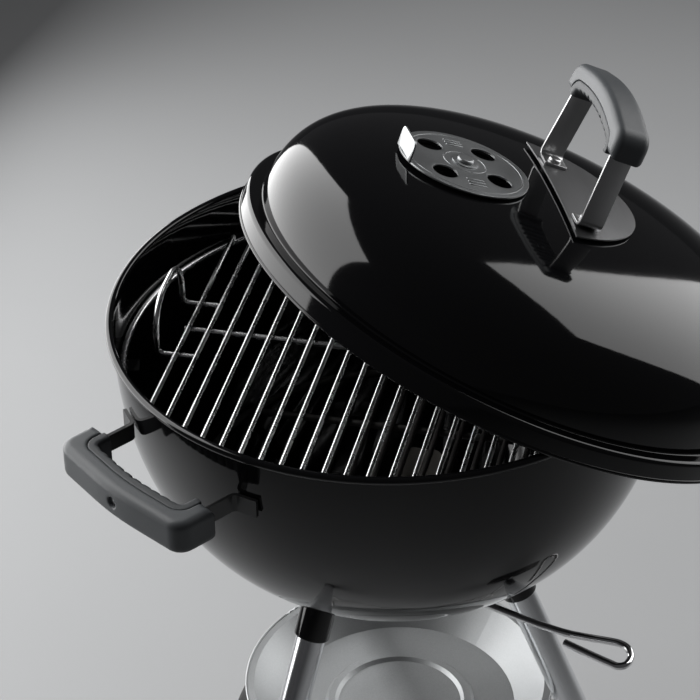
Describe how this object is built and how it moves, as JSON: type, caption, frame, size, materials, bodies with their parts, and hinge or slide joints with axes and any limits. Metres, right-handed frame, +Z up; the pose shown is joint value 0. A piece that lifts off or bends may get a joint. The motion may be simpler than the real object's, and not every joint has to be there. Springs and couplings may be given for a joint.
{
  "type": "kettle charcoal grill",
  "caption": "Round enamelled kettle grill on splayed tube legs with two wheels, a leaned-back domed lid with damper and handle, plated grate, ash sweeper and pan.",
  "frame": {"origin": "on the floor, under the bowl's vertical axis", "axes": "+Z up; -X towards the front foot and front handle; +X towards the wheels and rear handle; +Y left of someone who faces -X to +X"},
  "size_m": [0.6267, 0.6, 0.9179],
  "materials": {
    "enamel": "gloss black porcelain enamel, rounded highlights",
    "strap_black": "black baked enamel on flat steel strap",
    "grip_shell": "charcoal-grey glass-filled plastic, satin",
    "grip_pad": "charcoal-grey plastic, ribbed, matt",
    "plated_wire": "bright plated steel wire",
    "grate_steel": "plain steel wire, a little dull",
    "leg_tube": "polished aluminium tube",
    "pan_aluminium": "spun aluminium, satin",
    "damper_aluminium": "pressed aluminium, matt grain",
    "bail_steel": "brushed stainless strip",
    "sweeper_steel": "aluminised steel",
    "lever_chrome": "plated wire",
    "fastener_steel": "zinc-plated steel",
    "black_plastic": "moulded black plastic, fine grain",
    "cap_grey": "grey plastic push-on cap"
  },
  "bodies": {
    "stand": {"bowl": "enamel", "front_leg_socket": "enamel", "left_leg_socket": "enamel", "right_leg_socket": "enamel", "front_leg": "leg_tube", "left_leg": "leg_tube", "right_leg": "leg_tube", "front_foot": "black_plastic", "left_leg_plug": "black_plastic", "right_leg_plug": "black_plastic", "axle": "fastener_steel", "axle_caps": "cap_grey", "lower_rack": "plated_wire", "pan_clips": "fastener_steel", "front_handle_strap": "strap_black", "rear_handle_strap": "strap_black", "front_grip_outer": "grip_shell", "rear_grip_outer": "grip_shell", "front_grip_inner": "grip_pad", "rear_grip_inner": "grip_pad", "side_grip_screws": "fastener_steel", "grate_brackets": "sweeper_steel"},
    "left_wheel": {"left_wheel": "black_plastic"},
    "right_wheel": {"right_wheel": "black_plastic"},
    "ash_pan": {"ash_pan": "pan_aluminium"},
    "sweeper": {"sweeper_blades": "sweeper_steel", "sweeper_shaft": "sweeper_steel", "sweeper_pin": "fastener_steel", "sweeper_lever": "lever_chrome"},
    "charcoal_grate": {"charcoal_ring": "grate_steel", "charcoal_rods": "grate_steel", "charcoal_cross_rods": "grate_steel"},
    "cooking_grate": {"grate_ring": "plated_wire", "grate_rods": "plated_wire", "grate_cross_rod": "plated_wire", "grate_near_loop": "plated_wire", "grate_far_loop": "plated_wire"},
    "lid": {"lid_shell": "enamel", "lid_hook": "sweeper_steel", "lid_heat_shield": "bail_steel", "lid_spacers": "fastener_steel", "lid_handle_strap": "bail_steel", "lid_bolts": "fastener_steel", "lid_grip_outer": "grip_shell", "lid_grip_inner": "grip_pad", "lid_grip_screw": "fastener_steel", "damper_rivet": "fastener_steel"},
    "damper": {"lid_damper": "damper_aluminium"}
  },
  "joints": [
    {"name": "lid_lift", "type": "slide", "parent": "stand", "child": "lid", "axis": [0.3874, -0.2086, 0.898], "range_m": [0, 0.3]},
    {"name": "damper_turn", "type": "hinge", "parent": "lid", "child": "damper", "pos_m": [0.06415, -0.01748, 0.86127], "axis": [0.3188, -0.1538, 0.9353], "range_deg": [-45, 45]},
    {"name": "grate_lift", "type": "slide", "parent": "stand", "child": "cooking_grate", "axis": [0, 0, 1], "range_m": [0, 0.04]},
    {"name": "charcoal_grate_lift", "type": "slide", "parent": "stand", "child": "charcoal_grate", "axis": [0, 0, 1], "range_m": [0, 0.1]},
    {"name": "sweeper_turn", "type": "hinge", "parent": "stand", "child": "sweeper", "pos_m": [0, 0, 0.5], "axis": [0, 0, 1], "range_deg": [-88, 8]},
    {"name": "ash_pan_lift", "type": "slide", "parent": "stand", "child": "ash_pan", "axis": [0, 0, 1], "range_m": [0, 0.008]},
    {"name": "left_wheel_spin", "type": "hinge", "parent": "stand", "child": "left_wheel", "pos_m": [0.13478, 0.27372, 0.076], "axis": [0, 1, 0], "continuous": true},
    {"name": "right_wheel_spin", "type": "hinge", "parent": "stand", "child": "right_wheel", "pos_m": [0.13478, -0.27372, 0.076], "axis": [0, 1, 0], "continuous": true}
  ]
}
